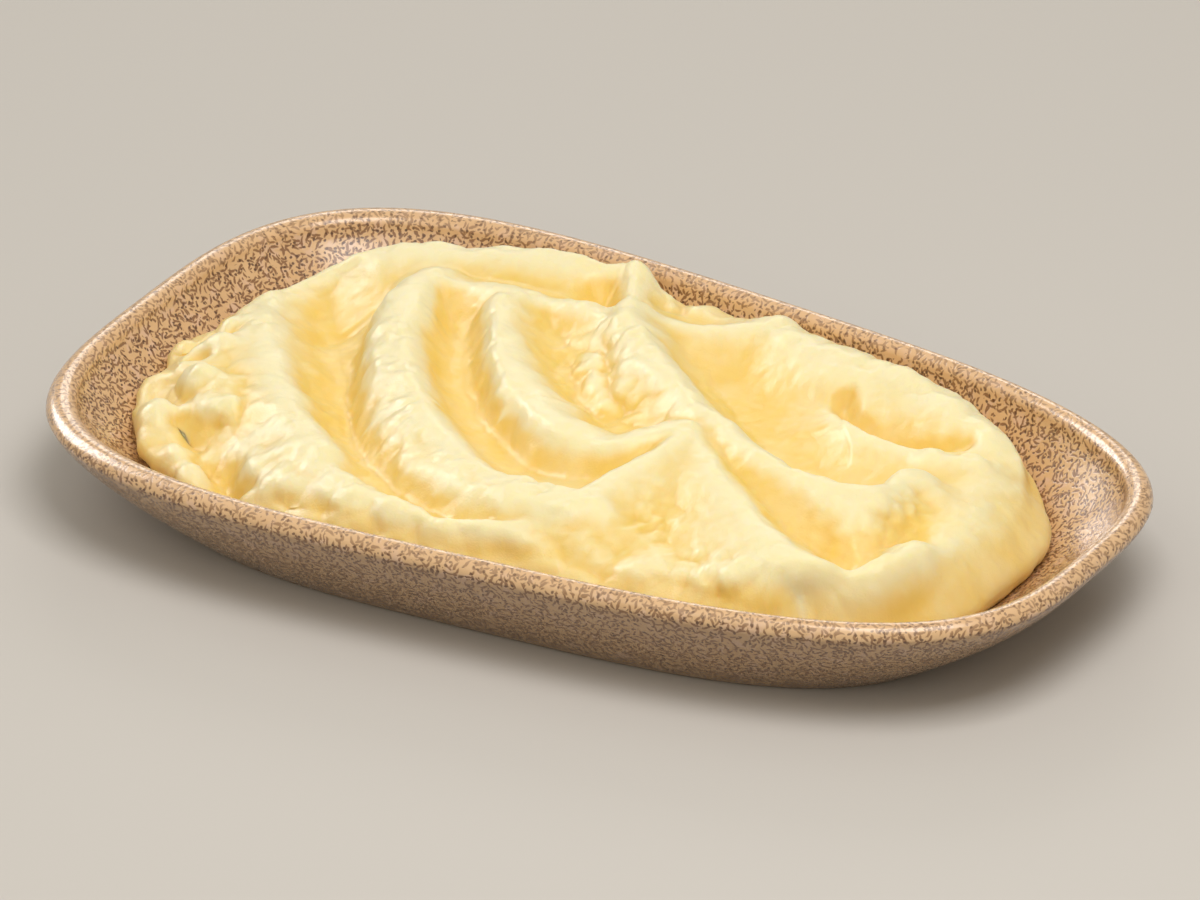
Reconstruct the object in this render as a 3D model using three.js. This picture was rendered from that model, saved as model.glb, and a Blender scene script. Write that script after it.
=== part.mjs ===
// Mashed potato side with its stoneware dish, in millimetres, +Z up.
// Origin: middle of the dish's footprint, on the surface it stands on.
// +X runs along the dish towards its narrower end, +Y to the side where the heap stands highest.
import * as THREE from 'three';

// ---- Dish: driving dimensions ----
const DISH_LENGTH = 220;
const DISH_WIDTH = 130;
const DISH_HEIGHT = 23;
const LIP_RADIUS = 2.6;
const CORNER_EXPONENT = 3.33; // exponent of the rounded-rectangle outline
const WIDTH_TAPER = -0.15; // change of half-width from the middle to the +X end
const FOOT_INSET_ENDS = 26; // outer wall: how far the foot stands in from the lip
const FOOT_INSET_SIDES = 14;
const OUTER_FLARE = 1.34; // above 1 the outer wall steepens towards the lip
const FLOOR_THICKNESS = 5;
const INNER_RUN_ENDS = 25; // inner wall: how far it runs in before it meets the floor
const INNER_RUN_SIDES = 15;
const INNER_EASE_TOP = 0.9;
const INNER_EASE_FLOOR = 1.7;

// ---- Dish: mesh fineness ----
const DISH_SEGMENTS = 84;
const OUTER_STEPS = 5;
const LIP_STEPS = 6;
const INNER_STEPS = 7;

// ---- Heap: driving dimensions ----
const HEAP_CENTRE = { x: -3.5, y: 0.5 };
const HEAP_HALF_LENGTH = 93;
const HEAP_HALF_WIDTH = 57;
const HEAP_EXPONENT = 2.7;
const HEAP_TAPER = -0.08;
const HEAP_TOP = 22; // height of the plain heap before the spoon work
const HEAP_SHOULDER = 3.0; // high values keep the top flat and the shoulders near the edge
const HEAP_EDGE = 0.55; // below 1 the edge of the heap rises steeply
const EDGE_BULGE = 3.4; // how high the heap's rounded edge stands on the dish
const DISH_GAP = 0.35;
const CREST_FILLET = 1.2;
const CREST_TAIL_SLOPE = 0.8;
// Crests die away inside the heap's edge: over this share of its half-size at the back,
// and over the wider share at the front, where FRONT_SPAN says how far the change runs.
const BACK_FADE = 0.06;
const FRONT_FADE = 0.1;
const FRONT_SPAN = 40;

// ---- Heap: mesh fineness ----
const HEAP_CELLS_LONG = 64;
const HEAP_CELLS_WIDE = 38;
const UNDERSIDE_RINGS = [0.95, 0.87, 0.76, 0.4];
const CURVE_STEPS = 40;

// Crests thrown up by the spoon. Each runs along a cubic curve given by four points.
// Its height is given at the start, middle and end. On each side of the direction of travel
// the flank has a reach and a drop at the start, middle and end; a power above 1 leaves the
// crest broad and flat on that side.
const CRESTS = [
  {
    name: 'left ramp',
    curve: [[-90, 20], [-80, -6], [-60, -26], [-41, -40]],
    height: [21, 23.5, 25],
    left: { reach: [12, 13, 9], drop: [4, 6, 5], power: 1 },
    right: { reach: [16, 14, 9], drop: [4, 5, 5], power: 1.3 },
  },
  {
    name: 'front lip',
    curve: [[-46, -38], [-30, -52], [0, -62], [18, -38]],
    height: [24.5, 23.5, 26.5],
    left: { reach: [9, 10, 7], drop: [5, 6, 4], power: 1 },
    right: { reach: [12, 12, 12], drop: [4, 5, 5], power: 1 },
  },
  {
    name: 'first wave',
    curve: [[-59, 32], [-60, 0], [-17, -50], [17, -35]],
    height: [27, 28.5, 28.5],
    left: { reach: [8, 12, 4], drop: [5, 8, 6], power: 1.1 },
    right: { reach: [7.5, 12.5, 11], drop: [6, 9, 5], power: 2.2 },
  },
  {
    name: 'crossing',
    curve: [[14, -37], [18, -31], [20, -20], [21, -8]],
    height: [28.5, 29.5, 30.5],
    left: { reach: [6, 8, 7], drop: [5, 6, 4], power: 1 },
    right: { reach: [10, 13, 13], drop: [4, 5, 5], power: 1 },
  },
  {
    name: 'second wave',
    curve: [[-42, 28], [-36, 8], [3, -38], [20, -5]],
    height: [28, 28.5, 30.5],
    left: { reach: [17, 17, 8], drop: [5, 6.5, 5], power: 1.5 },
    right: { reach: [7, 8, 8], drop: [6, 8, 7], power: 0.9 },
  },
  {
    name: 'long wave',
    curve: [[-16, 36], [-14, 22], [69, -37], [63, 6]],
    height: [30.5, 31, 27],
    left: { reach: [14, 11, 8], drop: [7, 8.5, 5], power: 1 },
    right: { reach: [9, 14, 16], drop: [7, 9, 7], power: 1 },
  },
  {
    name: 'last wave',
    curve: [[21, -5], [32, -17], [84, -59], [75, -17]],
    height: [30.5, 27.5, 26],
    left: { reach: [8, 9, 8], drop: [3, 5, 5], power: 1 },
    right: { reach: [16, 20, 13], drop: [6, 6, 6], power: 1.1 },
  },
  {
    name: 'slot lip',
    curve: [[36, 27], [43, 20], [53, 18], [69, 22]],
    height: [22.5, 25, 24],
    left: { reach: [4, 4, 5], drop: [3, 3, 3], power: 1 },
    right: { reach: [16, 15, 10], drop: [4, 5, 3], power: 1 },
  },
  {
    name: 'back fold',
    curve: [[-59, 33], [-46, 28], [-32, 39], [-17, 30]],
    height: [27, 27.5, 29],
    left: { reach: [9, 9, 8], drop: [3, 4, 5], power: 1 },
    right: { reach: [8, 8, 7], drop: [4, 5, 5], power: 1 },
  },
  {
    name: 'peak ridge',
    curve: [[-27, 55], [-22, 44], [-19, 38], [-14, 33]],
    height: [27.5, 29, 30.5],
    left: { reach: [8, 8, 8], drop: [5, 5, 5], power: 1 },
    right: { reach: [6, 6, 6], drop: [5, 6, 6], power: 0.8 },
  },
  {
    name: 'shoulder',
    curve: [[-16, 37], [-8, 40], [2, 44], [9, 51]],
    height: [30, 27, 25],
    left: { reach: [10, 10, 9], drop: [5, 5, 4], power: 0.9 },
    right: { reach: [14, 17, 16], drop: [6, 6, 5], power: 1 },
  },
  {
    name: 'back right',
    curve: [[9, 50], [20, 38], [34, 50], [66, 34]],
    height: [25, 26, 24],
    left: { reach: [9, 9, 9], drop: [4, 4, 4], power: 1 },
    right: { reach: [16, 15, 12], drop: [5, 4.5, 3], power: 1.1 },
  },
  {
    name: 'back edge',
    curve: [[-91, 12], [-88, 42], [-62, 50], [-29, 57]],
    height: [19.5, 24.5, 26],
    left: { reach: [7, 7, 7], drop: [4, 4, 4], power: 1 },
    right: { reach: [14, 16, 10], drop: [2, 3, 3], power: 1.4 },
  },
  {
    name: 'curdled fin',
    curve: [[-21, 36], [-19, 24], [-12, 12], [-2, 4]],
    height: [27, 25.5, 24],
    left: { reach: [9, 9, 7], drop: [3, 3, 3], power: 1 },
    right: { reach: [8, 8, 6], drop: [3, 3.5, 3], power: 1 },
  },
];

// Grooves and dents pressed into the heap, with their depth at the start, middle and end.
const GROOVES = [
  { curve: [[-82, 28], [-63, 1], [-37, -44], [2, -38]], depth: [4.5, 4.2, 0.5], width: 7 },
  { curve: [[-56, 39], [-54, 22], [0, -52], [9, -5]], depth: [1, 2, 1], width: 4.5 },
  { curve: [[-37, 39], [-34, 25], [-18, 4], [-3, 3]], depth: [1, 2, 1], width: 5 },
  { curve: [[-15, 47], [-4, 40], [57, -20], [53, 22]], depth: [1.5, 4, 2], width: 11 },
  { curve: [[36, -11], [55, -17], [80, -41], [69, 0]], depth: [0, 3, 2], width: 5 },
  { curve: [[34, 34], [38, 28], [48, 26], [63, 30]], depth: [4, 4, 2], width: 2.4 },
  { curve: [[-94, -8], [-91, -6], [-88, -4], [-86, 3]], depth: [2, 3, 1], width: 2.2 },
  { curve: [[-74, -38], [-67, -42], [-60, -46], [-54, -56]], depth: [2, 5, 5], width: 4.5 },
  { curve: [[-33, 52], [-30, 47], [-27, 44], [-22, 40]], depth: [1, 4, 2], width: 4 },
];

// Soft lumps (positive height) and dents (negative height).
const LUMPS = [
  { x: -58, y: 31, long: 4, wide: 5, turn: 0, height: 1.5 },
  { x: -93, y: -17, long: 6, wide: 5, turn: 0, height: 5.5 },
  { x: -81, y: -21, long: 6, wide: 5, turn: 0, height: 5 },
  { x: -84, y: -8, long: 7, wide: 5, turn: 30, height: 4 },
  { x: -78, y: -44, long: 8, wide: 6, turn: 0, height: 5 },
  { x: -66, y: -53, long: 6, wide: 5, turn: 0, height: 4 },
  { x: -71, y: -29, long: 6, wide: 4.5, turn: 20, height: 4 },
  { x: -86, y: -34, long: 6, wide: 5, turn: 0, height: 4.5 },
  { x: -88, y: 12, long: 9, wide: 8, turn: 60, height: 1.5 },
  { x: -72, y: -20, long: 5, wide: 3.5, turn: 40, height: 2.5 },
  { x: -51, y: -54, long: 5, wide: 4, turn: 0, height: 4.5 },
  { x: -46, y: -45, long: 5, wide: 4, turn: 0, height: 3.5 },
  { x: -30, y: -57, long: 8, wide: 5, turn: 10, height: 3 },
  { x: 25, y: -31, long: 14, wide: 12, turn: 0, height: 4.5 },
  { x: 46, y: -44, long: 14, wide: 8, turn: 10, height: 3 },
  { x: 64, y: -44, long: 12, wide: 7, turn: 20, height: 2 },
  { x: 16, y: -54, long: 12, wide: 6, turn: 0, height: 2.5 },
  { x: 77, y: 4, long: 12, wide: 22, turn: 10, height: 4.5 },
  { x: 82, y: -18, long: 9, wide: 14, turn: 10, height: 3.5 },
  { x: 74, y: 20, long: 8, wide: 7, turn: 0, height: 2 },
  { x: 48, y: 40, long: 12, wide: 6, turn: -15, height: 1.5 },
  { x: -70, y: 36, long: 10, wide: 8, turn: 40, height: 1 },
  { x: -11, y: 53, long: 5, wide: 4, turn: 0, height: 3 },
  { x: 8, y: 52, long: 6, wide: 4, turn: 0, height: 3 },
  { x: 29, y: 48, long: 7, wide: 5, turn: 0, height: 3 },
  { x: 18, y: 45, long: 4, wide: 4, turn: 0, height: -3.5 },
  { x: -71, y: 20, long: 3, wide: 8, turn: -20, height: -1.5 },
];

// ---- Shared helpers ----

// Point of a rounded rectangle with half-sizes 1, in the direction of an ellipse's angle.
function unitOutline(angle, exponent) {
  const c = Math.cos(angle);
  const s = Math.sin(angle);
  const scale = (Math.abs(c) ** exponent + Math.abs(s) ** exponent) ** (-1 / exponent);
  return [c * scale, s * scale];
}

// Turns a list of vertices and a list of triangles into one closed geometry.
function closedGeometry(vertices, triangles) {
  const geometry = new THREE.BufferGeometry();
  geometry.setAttribute('position', new THREE.Float32BufferAttribute(vertices.flat(), 3));
  geometry.setIndex(triangles.flat());
  geometry.computeVertexNormals();
  return geometry;
}

// Joins ring number "lower" to the next ring, with "count" vertices in each.
function ringBand(triangles, lower, upper, count) {
  for (let i = 0; i < count; i += 1) {
    const next = (i + 1) % count;
    triangles.push([lower + i, lower + next, upper + next]);
    triangles.push([lower + i, upper + next, upper + i]);
  }
}

// ---- Dish ----

const LIP_CENTRE_HEIGHT = DISH_HEIGHT - LIP_RADIUS;

function dishPoint(angle, halfLength, halfWidth, height) {
  const [u, v] = unitOutline(angle, CORNER_EXPONENT);
  const x = halfLength * u;
  const y = halfWidth * v * (1 + WIDTH_TAPER * (x / (DISH_LENGTH / 2)));
  return [x, y, height];
}

// Height of the inner wall, from 0 at the lip to 1 where it meets the floor.
function innerHeight(part) {
  const rise = (1 - part ** INNER_EASE_TOP) ** INNER_EASE_FLOOR;
  return FLOOR_THICKNESS + (LIP_CENTRE_HEIGHT - FLOOR_THICKNESS) * rise;
}

// The dish's section as rings from the foot, up the outside, over the lip and down inside.
function dishRings() {
  const rings = [];
  const halfLength = DISH_LENGTH / 2;
  const halfWidth = DISH_WIDTH / 2;
  for (let i = 0; i < OUTER_STEPS; i += 1) {
    const part = i / OUTER_STEPS;
    const inset = (1 - part) ** OUTER_FLARE;
    rings.push({
      halfLength: halfLength - FOOT_INSET_ENDS * inset,
      halfWidth: halfWidth - FOOT_INSET_SIDES * inset,
      height: LIP_CENTRE_HEIGHT * part,
    });
  }
  for (let i = 0; i < LIP_STEPS; i += 1) {
    const turn = (Math.PI * i) / LIP_STEPS;
    const inset = LIP_RADIUS * (1 - Math.cos(turn));
    rings.push({
      halfLength: halfLength - inset,
      halfWidth: halfWidth - inset,
      height: LIP_CENTRE_HEIGHT + LIP_RADIUS * Math.sin(turn),
    });
  }
  for (let i = 0; i <= INNER_STEPS; i += 1) {
    const part = i / INNER_STEPS;
    rings.push({
      halfLength: halfLength - 2 * LIP_RADIUS - INNER_RUN_ENDS * part,
      halfWidth: halfWidth - 2 * LIP_RADIUS - INNER_RUN_SIDES * part,
      height: innerHeight(part),
    });
  }
  return rings;
}

function dishGeometry() {
  const vertices = [];
  const triangles = [];
  const rings = dishRings();
  for (const ring of rings) {
    for (let i = 0; i < DISH_SEGMENTS; i += 1) {
      const angle = (2 * Math.PI * i) / DISH_SEGMENTS;
      vertices.push(dishPoint(angle, ring.halfLength, ring.halfWidth, ring.height));
    }
  }
  for (let ring = 0; ring + 1 < rings.length; ring += 1) {
    ringBand(triangles, ring * DISH_SEGMENTS, (ring + 1) * DISH_SEGMENTS, DISH_SEGMENTS);
  }
  const underside = vertices.push([0, 0, 0]) - 1;
  const floor = vertices.push([0, 0, FLOOR_THICKNESS]) - 1;
  const lastRing = (rings.length - 1) * DISH_SEGMENTS;
  for (let i = 0; i < DISH_SEGMENTS; i += 1) {
    const next = (i + 1) % DISH_SEGMENTS;
    triangles.push([underside, next, i]);
    triangles.push([floor, lastRing + i, lastRing + next]);
  }
  return closedGeometry(vertices, triangles);
}

// Whether a point lies within the inner wall's ring at this part of its run.
function insideInnerRing(x, y, part) {
  const halfLength = DISH_LENGTH / 2 - 2 * LIP_RADIUS - INNER_RUN_ENDS * part;
  const halfWidth = DISH_WIDTH / 2 - 2 * LIP_RADIUS - INNER_RUN_SIDES * part;
  const taper = 1 + WIDTH_TAPER * (x / (DISH_LENGTH / 2));
  const u = Math.abs(x / halfLength) ** CORNER_EXPONENT;
  const v = Math.abs(y / (halfWidth * taper)) ** CORNER_EXPONENT;
  return u + v < 1;
}

// Height of the dish's inner surface under a point, found by halving the wall's run.
function dishSurface(x, y) {
  if (insideInnerRing(x, y, 1)) return FLOOR_THICKNESS;
  let low = 0;
  let high = 1;
  for (let i = 0; i < 24; i += 1) {
    const middle = (low + high) / 2;
    if (insideInnerRing(x, y, middle)) low = middle;
    else high = middle;
  }
  return innerHeight((low + high) / 2);
}

// ---- Heap of mashed potato ----

// Value of a quantity given at the start, middle and end of a curve.
function along([start, middle, end], t) {
  return start * (1 - t) * (1 - 2 * t) + middle * 4 * t * (1 - t) + end * t * (2 * t - 1);
}

// Samples a cubic curve once, so that distances to it are quick to find.
function sampled(curve) {
  const [a, b, c, d] = curve.map(([x, y]) => new THREE.Vector2(x, y));
  return new THREE.CubicBezierCurve(a, b, c, d).getPoints(CURVE_STEPS);
}

// Distance from a point to a sampled curve, how far along it lies, and how much of the
// left flank applies: 1 to the left of the curve, 0 to its right, between them past its ends.
function nearest(x, y, points) {
  let best = { distance: Infinity, t: 0, left: 0 };
  for (let i = 0; i + 1 < points.length; i += 1) {
    const dx = points[i + 1].x - points[i].x;
    const dy = points[i + 1].y - points[i].y;
    const ahead = ((x - points[i].x) * dx + (y - points[i].y) * dy) / (dx * dx + dy * dy);
    const s = THREE.MathUtils.clamp(ahead, 0, 1);
    const ex = x - points[i].x - s * dx;
    const ey = y - points[i].y - s * dy;
    const distance = Math.hypot(ex, ey);
    if (distance < best.distance) {
      const side = (dx * ey - dy * ex) / Math.max(distance * Math.hypot(dx, dy), 1e-9);
      best = { distance, t: (i + s) / (points.length - 1), left: 0.5 + 0.5 * side };
    }
  }
  return best;
}

// The larger of two heights, with a small fillet where they cross.
function smoothMax(a, b) {
  const h = THREE.MathUtils.clamp(0.5 + (0.5 * (a - b)) / CREST_FILLET, 0, 1);
  return b * (1 - h) + a * h + CREST_FILLET * h * (1 - h);
}

// How far a crest's flank has dropped at this distance: an S-shaped slope, then a tail.
function flankFall(distance, t, flank) {
  const reach = along(flank.reach, t);
  const share = Math.min(distance / reach, 1) ** flank.power;
  const tail = CREST_TAIL_SLOPE * Math.max(distance - reach, 0);
  return along(flank.drop, t) * share * share * (3 - 2 * share) + tail;
}

// Maps the unit square onto the heap's outline; the square's border lands on the outline.
function heapPoint(s, t) {
  const reach = Math.max(Math.abs(s), Math.abs(t));
  if (reach === 0) return [HEAP_CENTRE.x, HEAP_CENTRE.y];
  const norm = (Math.abs(s) ** HEAP_EXPONENT + Math.abs(t) ** HEAP_EXPONENT) ** (1 / HEAP_EXPONENT);
  const scale = reach / norm;
  const u = s * scale;
  const v = t * scale * (1 + HEAP_TAPER * u);
  return [HEAP_CENTRE.x + HEAP_HALF_LENGTH * u, HEAP_CENTRE.y + HEAP_HALF_WIDTH * v];
}

// The plain heap: it stands up from the dish at its outline and swells to its top.
function plainHeap(s, t) {
  const reach = Math.max(Math.abs(s), Math.abs(t), 1e-6);
  const [edgeX, edgeY] = heapPoint(s / reach, t / reach);
  const edgeHeight = dishSurface(edgeX, edgeY) + EDGE_BULGE;
  const swell = (1 - reach ** HEAP_SHOULDER) ** HEAP_EDGE;
  return edgeHeight + (Math.max(HEAP_TOP, edgeHeight) - edgeHeight) * swell;
}

// 1 over most of the heap, easing to 0 at its edge.
function edgeFade(s, t, y) {
  const inside = 1 - Math.max(Math.abs(s), Math.abs(t));
  const front = THREE.MathUtils.clamp(0.5 - y / FRONT_SPAN, 0, 1);
  return THREE.MathUtils.smoothstep(inside, 0, BACK_FADE + (FRONT_FADE - BACK_FADE) * front);
}

function lumpHeight(x, y, lump) {
  const turn = THREE.MathUtils.degToRad(lump.turn);
  const dx = x - lump.x;
  const dy = y - lump.y;
  const p = (dx * Math.cos(turn) + dy * Math.sin(turn)) / lump.long;
  const q = (dy * Math.cos(turn) - dx * Math.sin(turn)) / lump.wide;
  return lump.height * Math.exp(-(p * p + q * q));
}

const crestPaths = CRESTS.map((crest) => ({ ...crest, points: sampled(crest.curve) }));
const groovePaths = GROOVES.map((groove) => ({ ...groove, points: sampled(groove.curve) }));

// Height of the worked heap above the table.
function heapHeight(s, t) {
  const [x, y] = heapPoint(s, t);
  const fade = edgeFade(s, t, y);
  let height = plainHeap(s, t);
  for (const lump of LUMPS) height += lumpHeight(x, y, lump) * Math.sqrt(fade);
  for (const crest of crestPaths) {
    const hit = nearest(x, y, crest.points);
    const leftFall = flankFall(hit.distance, hit.t, crest.left);
    const rightFall = flankFall(hit.distance, hit.t, crest.right);
    const fall = hit.left * leftFall + (1 - hit.left) * rightFall;
    const top = THREE.MathUtils.lerp(height, along(crest.height, hit.t), fade);
    height = smoothMax(height, top - fall);
  }
  for (const groove of groovePaths) {
    const hit = nearest(x, y, groove.points);
    height -= along(groove.depth, hit.t) * Math.exp(-((hit.distance / groove.width) ** 2));
  }
  return height;
}

// Vertex numbers of the grid's border, in order round the heap.
function borderLoop(index) {
  const loop = [];
  for (let i = 0; i < HEAP_CELLS_LONG; i += 1) loop.push(index(i, 0));
  for (let j = 0; j < HEAP_CELLS_WIDE; j += 1) loop.push(index(HEAP_CELLS_LONG, j));
  for (let i = HEAP_CELLS_LONG; i > 0; i -= 1) loop.push(index(i, HEAP_CELLS_WIDE));
  for (let j = HEAP_CELLS_WIDE; j > 0; j -= 1) loop.push(index(0, j));
  return loop;
}

function heapGeometry() {
  const vertices = [];
  const triangles = [];
  const index = (i, j) => i * (HEAP_CELLS_WIDE + 1) + j;
  for (let i = 0; i <= HEAP_CELLS_LONG; i += 1) {
    for (let j = 0; j <= HEAP_CELLS_WIDE; j += 1) {
      const s = (2 * i) / HEAP_CELLS_LONG - 1;
      const t = (2 * j) / HEAP_CELLS_WIDE - 1;
      const [x, y] = heapPoint(s, t);
      const lowest = dishSurface(x, y) + DISH_GAP;
      const onBorder = Math.max(Math.abs(s), Math.abs(t)) === 1;
      const height = onBorder ? lowest : Math.max(heapHeight(s, t), lowest + DISH_GAP);
      vertices.push([x, y, height]);
    }
  }
  for (let i = 0; i < HEAP_CELLS_LONG; i += 1) {
    for (let j = 0; j < HEAP_CELLS_WIDE; j += 1) {
      const [a, b, c, d] = [index(i, j), index(i + 1, j), index(i + 1, j + 1), index(i, j + 1)];
      // Cut each cell along the diagonal that is nearer to level, so crests stay smooth.
      const level = Math.abs(vertices[a][2] - vertices[c][2]);
      if (level < Math.abs(vertices[b][2] - vertices[d][2])) {
        triangles.push([a, b, c], [a, c, d]);
      } else {
        triangles.push([a, b, d], [b, c, d]);
      }
    }
  }
  let ring = borderLoop(index);
  const border = ring.map((number) => vertices[number]);
  for (const scale of UNDERSIDE_RINGS) {
    const inner = border.map(([borderX, borderY]) => {
      const x = HEAP_CENTRE.x + (borderX - HEAP_CENTRE.x) * scale;
      const y = HEAP_CENTRE.y + (borderY - HEAP_CENTRE.y) * scale;
      return vertices.push([x, y, dishSurface(x, y) + DISH_GAP]) - 1;
    });
    ring.forEach((number, k) => {
      const next = (k + 1) % ring.length;
      triangles.push([number, inner[k], inner[next]]);
      triangles.push([number, inner[next], ring[next]]);
    });
    ring = inner;
  }
  const middle = vertices.push([HEAP_CENTRE.x, HEAP_CENTRE.y, FLOOR_THICKNESS + DISH_GAP]) - 1;
  ring.forEach((number, k) => {
    triangles.push([number, middle, ring[(k + 1) % ring.length]]);
  });
  return closedGeometry(vertices, triangles);
}

// ---- Assembly ----

const stoneware = new THREE.MeshStandardMaterial({ color: 0xb8926b, roughness: 0.35, metalness: 0 });
const potato = new THREE.MeshStandardMaterial({ color: 0xf7dd90, roughness: 0.55, metalness: 0 });

const dish = new THREE.Mesh(dishGeometry(), stoneware);
dish.name = 'dish';

const mash = new THREE.Mesh(heapGeometry(), potato);
mash.name = 'mash';

const group = new THREE.Group();
group.add(dish, mash);

export default group;
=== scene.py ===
"""Looks for a mashed potato side in its speckled stoneware dish.

Lengths are in millimetres until a mesh is made, and Blender's are in metres.
+X runs along the dish towards its narrower end, +Y to the side where the heap stands highest.
"""
import itertools
import math

import bpy
import numpy as np
from mathutils import Matrix, Vector


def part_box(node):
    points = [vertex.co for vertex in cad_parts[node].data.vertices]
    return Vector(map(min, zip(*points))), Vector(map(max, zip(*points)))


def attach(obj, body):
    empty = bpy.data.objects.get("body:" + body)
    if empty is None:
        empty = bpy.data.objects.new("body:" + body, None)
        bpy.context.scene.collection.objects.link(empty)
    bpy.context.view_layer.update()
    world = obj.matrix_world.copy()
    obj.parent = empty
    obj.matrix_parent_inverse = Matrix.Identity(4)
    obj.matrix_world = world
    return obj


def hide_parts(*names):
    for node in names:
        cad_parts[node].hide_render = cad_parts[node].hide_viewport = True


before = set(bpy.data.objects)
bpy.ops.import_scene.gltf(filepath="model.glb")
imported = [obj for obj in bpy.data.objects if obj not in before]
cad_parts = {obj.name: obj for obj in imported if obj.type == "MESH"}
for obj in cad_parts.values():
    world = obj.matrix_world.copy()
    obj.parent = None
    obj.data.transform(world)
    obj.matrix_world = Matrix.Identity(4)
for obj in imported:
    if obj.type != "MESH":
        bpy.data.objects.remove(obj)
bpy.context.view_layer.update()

MM = 0.001

# ---- Dish ----
dish_low, dish_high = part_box("dish")
DISH_LENGTH = (dish_high.x - dish_low.x) / MM
DISH_HEIGHT = (dish_high.z - dish_low.z) / MM
DISH_WIDTH = 0.591 * DISH_LENGTH  # at the middle of its length
LIP_RADIUS = 2.6
LIP_CENTRE_HEIGHT = DISH_HEIGHT - LIP_RADIUS
CORNER_EXPONENT = 3.33
WIDTH_TAPER = -0.15
FOOT_INSET = (26.0, 14.0)  # at the ends, at the sides
OUTER_FLARE = 1.34
FLOOR_THICKNESS = 5.0
INNER_RUN = (25.0, 15.0)  # at the ends, at the sides
INNER_EASE_TOP = 0.9
INNER_EASE_FLOOR = 1.7
DISH_SEGMENTS = 288
FOOT_RINGS = ((8.0, 1.0), (6.2, 0.9), (5.2, 0.1), (4.6, 0.0), (1.6, 0.0), (0.5, 0.15))  # inset, height
OUTER_WALL_RINGS = 18
LIP_RINGS = 14
INNER_WALL_RINGS = 24
FLOOR_RING_STEPS = (3.0, 8.0, 16.0, 26.0)
LIP_SAG = 0.35  # how far the hand-made lip dips at most
OUTLINE_WOBBLE = 0.0035  # how far it strays inwards at most, as a share of its size

# ---- Heap ----
HEAP_CENTRE = (-3.5, 0.5)
HEAP_HALF_LENGTH = 93.0
HEAP_HALF_WIDTH = 57.0
HEAP_EXPONENT = 2.7
HEAP_TAPER = -0.08
HEAP_TOP = 22.0
HEAP_SHOULDER = 3.0
HEAP_EDGE = 0.55
EDGE_BULGE = 3.4  # radius of the rolled edge where the mash meets the dish
HEAP_CELLS = (380, 236)
EDGE_ROWS = 7
CREST_FILLET = 1.2
CREST_TAIL_SLOPE = 0.8
CREST_FADE = 0.06  # share of the heap's radius over which crests sink into the edge
FRONT_FADE = 0.04  # more of it at the front
FRONT_DEPTH = 40.0  # how far from the middle the front is fully the front
UNDERSIDE_RINGS = (0.97, 0.9, 0.8, 0.6, 0.3)

# name, curve, height at start, middle and end; then for the left and the right flank: how far
# it reaches at start, middle and end, how deep it drops, and a power above 1 for a flat top
CRESTS = [
    ("left ramp", [(-90, 20), (-80, -6), (-60, -26), (-41, -40)], (21, 23.5, 25),
     (12, 13, 9), (4, 6, 5), 1.0, (16, 14, 9), (4, 5, 5), 1.3),
    ("front lip", [(-46, -38), (-30, -52), (0, -62), (18, -38)], (24.5, 23.5, 26.5),
     (9, 10, 7), (5, 6, 4), 1.0, (12, 12, 12), (4, 5, 5), 1.0),
    ("first wave", [(-59, 32), (-60, 0), (-17, -50), (17, -35)], (27, 28.5, 28.5),
     (8, 12, 4), (5, 8, 6), 1.1, (7.5, 12.5, 11), (6, 9, 5), 2.2),
    ("crossing", [(14, -37), (18, -31), (20, -20), (21, -8)], (28.5, 29.5, 30.5),
     (6, 8, 7), (5, 6, 4), 1.0, (10, 13, 13), (4, 5, 5), 1.0),
    ("second wave", [(-42, 28), (-36, 8), (3, -38), (20, -5)], (28, 28.5, 30.5),
     (17, 17, 8), (5, 6.5, 5), 1.5, (7, 8, 8), (6, 8, 7), 0.9),
    ("long wave", [(-16, 36), (-14, 22), (69, -37), (63, 6)], (30.5, 31, 27),
     (14, 11, 8), (7, 8.5, 5), 1.0, (9, 14, 16), (7, 9, 7), 1.0),
    ("last wave", [(21, -5), (32, -17), (84, -59), (75, -17)], (30.5, 27.5, 26),
     (8, 9, 8), (3, 5, 5), 1.0, (16, 20, 13), (6, 6, 6), 1.1),
    ("slot lip", [(36, 27), (43, 20), (53, 18), (69, 22)], (22.5, 25, 24),
     (4, 4, 5), (3, 3, 3), 1.0, (16, 15, 10), (4, 5, 3), 1.0),
    ("back fold", [(-59, 33), (-46, 28), (-32, 39), (-17, 30)], (27, 27.5, 29),
     (9, 9, 8), (3, 4, 5), 1.0, (8, 8, 7), (4, 5, 5), 1.0),
    ("peak ridge", [(-27, 55), (-22, 44), (-19, 38), (-14, 33)], (27.5, 29, 30.5),
     (8, 8, 8), (5, 5, 5), 1.0, (6, 6, 6), (5, 6, 6), 0.8),
    ("shoulder", [(-16, 37), (-8, 40), (2, 44), (9, 51)], (30, 27, 25),
     (10, 10, 9), (5, 5, 4), 0.9, (14, 17, 16), (6, 6, 5), 1.0),
    ("back right", [(9, 50), (20, 38), (34, 50), (66, 34)], (25, 26, 24),
     (9, 9, 9), (4, 4, 4), 1.0, (16, 15, 12), (5, 4.5, 3), 1.1),
    ("back edge", [(-91, 12), (-88, 42), (-62, 50), (-29, 57)], (19.5, 24.5, 26),
     (7, 7, 7), (4, 4, 4), 1.0, (14, 16, 10), (2, 3, 3), 1.4),
    ("curdled fin", [(-21, 36), (-19, 24), (-12, 12), (-2, 4)], (27, 25.5, 24),
     (9, 9, 7), (3, 3, 3), 1.0, (8, 8, 6), (3, 3.5, 3), 1.0),
]
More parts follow.
